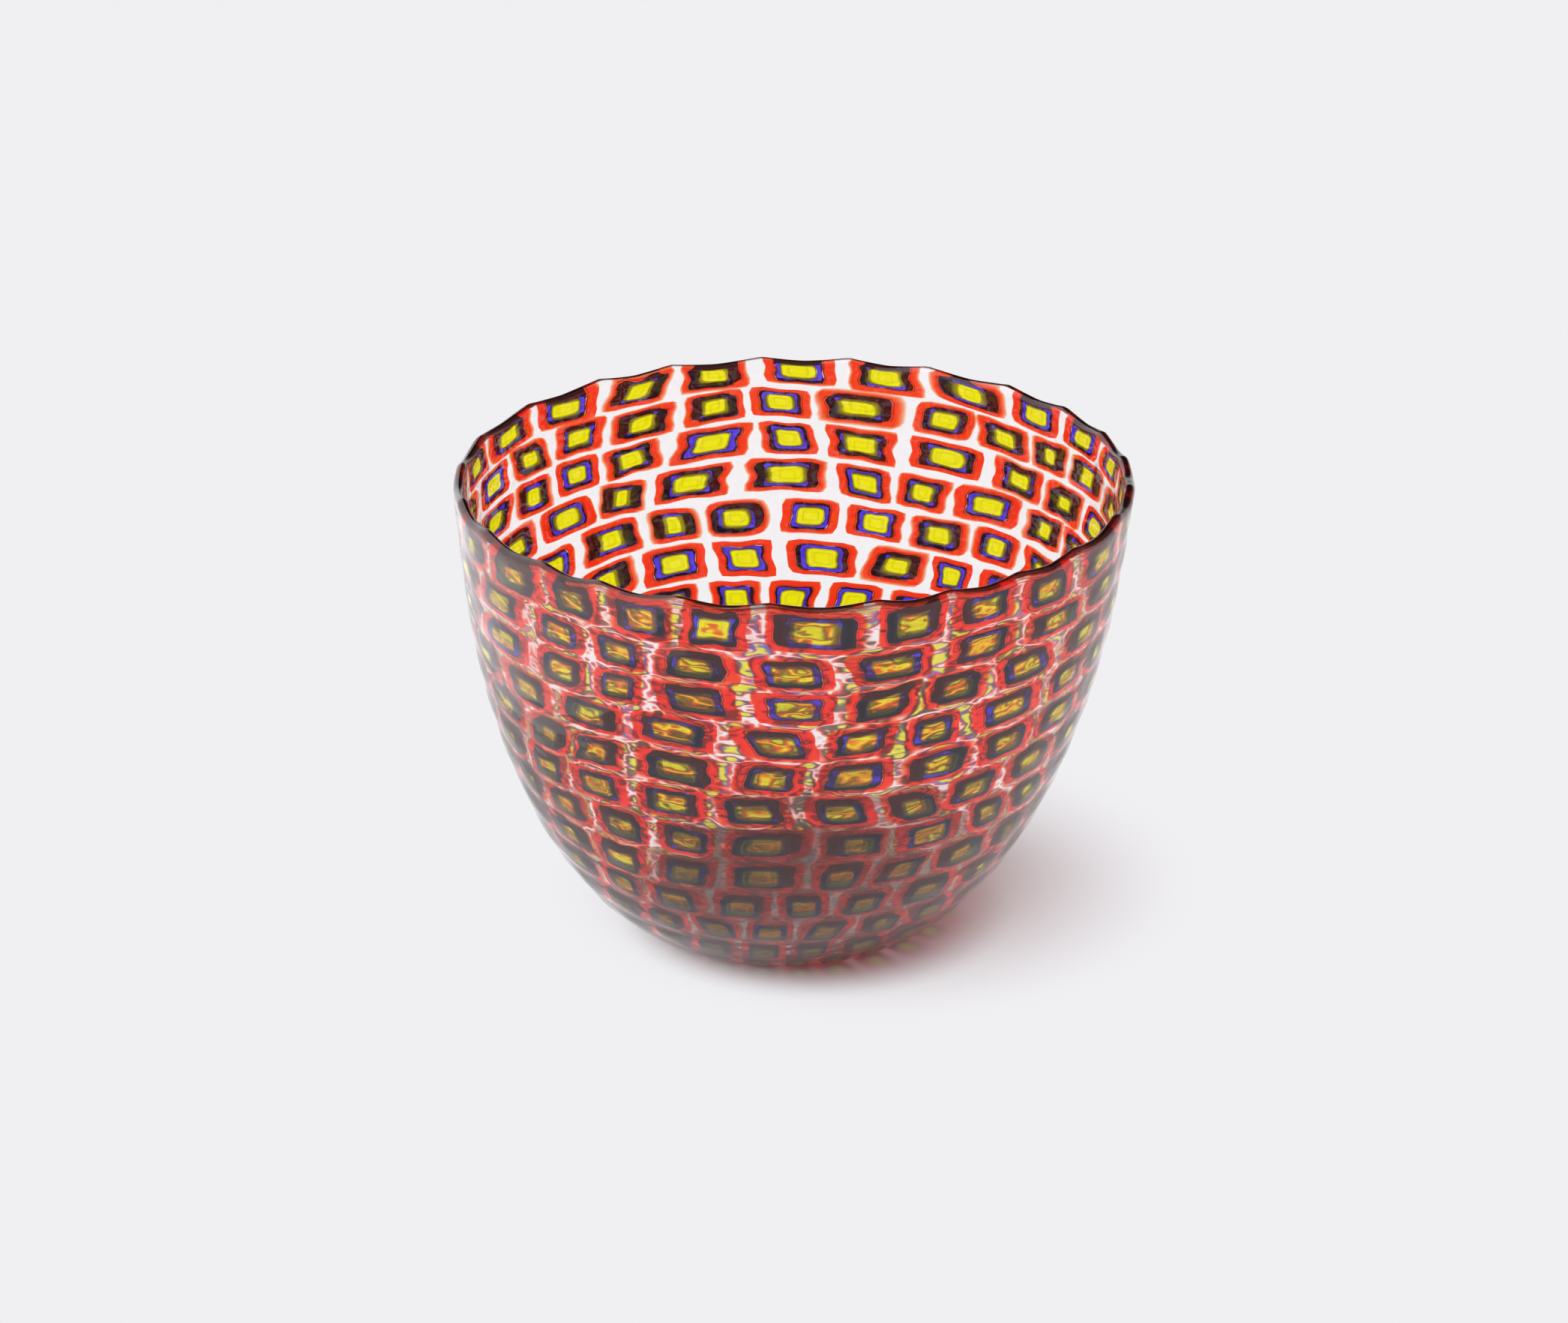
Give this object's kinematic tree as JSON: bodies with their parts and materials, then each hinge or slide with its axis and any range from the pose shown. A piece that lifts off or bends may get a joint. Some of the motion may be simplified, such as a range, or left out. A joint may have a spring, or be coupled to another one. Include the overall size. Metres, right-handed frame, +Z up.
{
  "type": "art glass bowl",
  "caption": "Deep rounded glass bowl of fused cane tiles: yellow cores in violet rings and red casings, joined by clear glass, on a small flat foot.",
  "frame": {"origin": "middle of the flat foot, on the table", "axes": "+Z up through the mouth, the bowl's own axis; +X and +Y level, and any way round"},
  "size_m": [0.2, 0.2, 0.141],
  "materials": {
    "clear_glass": "fire polished",
    "red_glass": "fire polished",
    "violet_glass": "fire polished",
    "yellow_glass": "fire polished"
  },
  "bodies": {
    "root": {"clear_casings_01": "clear_glass", "red_casings_01": "red_glass", "violet_rings_01": "violet_glass", "yellow_cores_01": "yellow_glass", "clear_casings_02": "clear_glass", "red_casings_02": "red_glass", "violet_rings_02": "violet_glass", "yellow_cores_02": "yellow_glass", "clear_casings_03": "clear_glass", "red_casings_03": "red_glass", "violet_rings_03": "violet_glass", "yellow_cores_03": "yellow_glass", "clear_casings_04": "clear_glass", "red_casings_04": "red_glass", "violet_rings_04": "violet_glass", "yellow_cores_04": "yellow_glass", "clear_casings_05": "clear_glass", "red_casings_05": "red_glass", "violet_rings_05": "violet_glass", "yellow_cores_05": "yellow_glass", "clear_casings_06": "clear_glass", "red_casings_06": "red_glass", "violet_rings_06": "violet_glass", "yellow_cores_06": "yellow_glass", "clear_casings_07": "clear_glass", "red_casings_07": "red_glass", "violet_rings_07": "violet_glass", "yellow_cores_07": "yellow_glass", "clear_casings_08": "clear_glass", "red_casings_08": "red_glass", "violet_rings_08": "violet_glass", "yellow_cores_08": "yellow_glass", "clear_casings_09": "clear_glass", "red_casings_09": "red_glass", "violet_rings_09": "violet_glass", "yellow_cores_09": "yellow_glass", "clear_casings_10": "clear_glass", "red_casings_10": "red_glass", "violet_rings_10": "violet_glass", "yellow_cores_10": "yellow_glass", "clear_casings_11": "clear_glass", "red_casings_11": "red_glass", "violet_rings_11": "violet_glass", "yellow_cores_11": "yellow_glass", "clear_casings_12": "clear_glass", "red_casings_12": "red_glass", "violet_rings_12": "violet_glass", "yellow_cores_12": "yellow_glass", "base_clear_casings": "clear_glass", "base_red_casings": "red_glass", "base_violet_rings": "violet_glass", "base_yellow_cores": "yellow_glass"}
  },
  "joints": []
}
